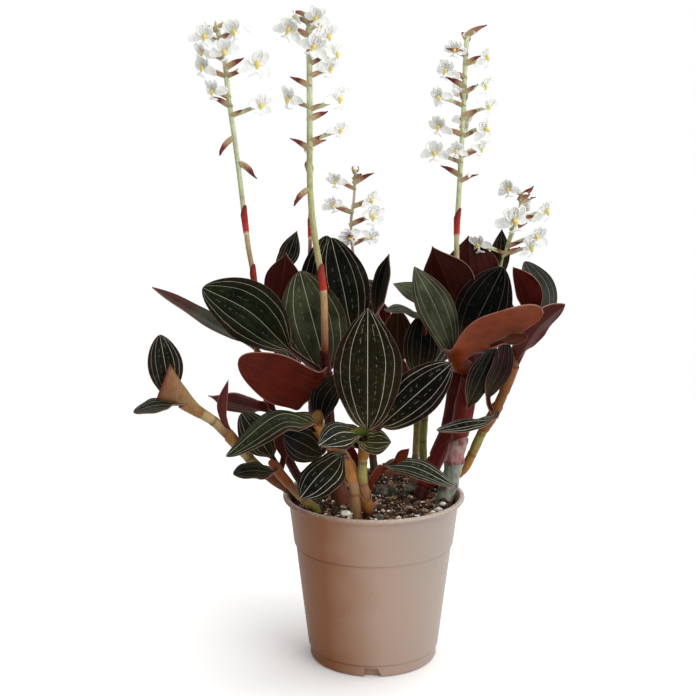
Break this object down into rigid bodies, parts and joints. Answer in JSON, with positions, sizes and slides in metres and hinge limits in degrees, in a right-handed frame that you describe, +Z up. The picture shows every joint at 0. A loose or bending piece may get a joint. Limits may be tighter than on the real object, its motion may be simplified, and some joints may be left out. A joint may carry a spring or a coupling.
{
  "type": "potted jewel orchid",
  "caption": "Flowering jewel orchid with dark striped leaves and upright sprays of small white flowers, in a round grower's pot of bark and perlite.",
  "frame": {"origin": "centre of the pot's foot, on the surface that the pot stands on", "axes": "+Z up through the pot towards the flower spikes, -Y towards the front of the plant, +X to its right"},
  "size_m": [0.2716, 0.1643, 0.4201],
  "materials": {
    "plastic": "satin, dusty",
    "bark": "rough, damp",
    "foliage": "satin, slightly glossy"
  },
  "bodies": {
    "root": {"pot": "plastic", "soil": "bark", "shoot_low_left": "foliage", "shoot_left": "foliage", "shoot_front_left": "foliage", "shoot_front": "foliage", "shoot_centre_left": "foliage", "shoot_centre": "foliage", "shoot_back_left": "foliage", "shoot_middle_back": "foliage", "shoot_middle": "foliage", "shoot_right": "foliage", "shoot_right_sheathed": "foliage", "shoot_far_right": "foliage", "shoot_back": "foliage", "shoot_young": "foliage"}
  },
  "joints": []
}
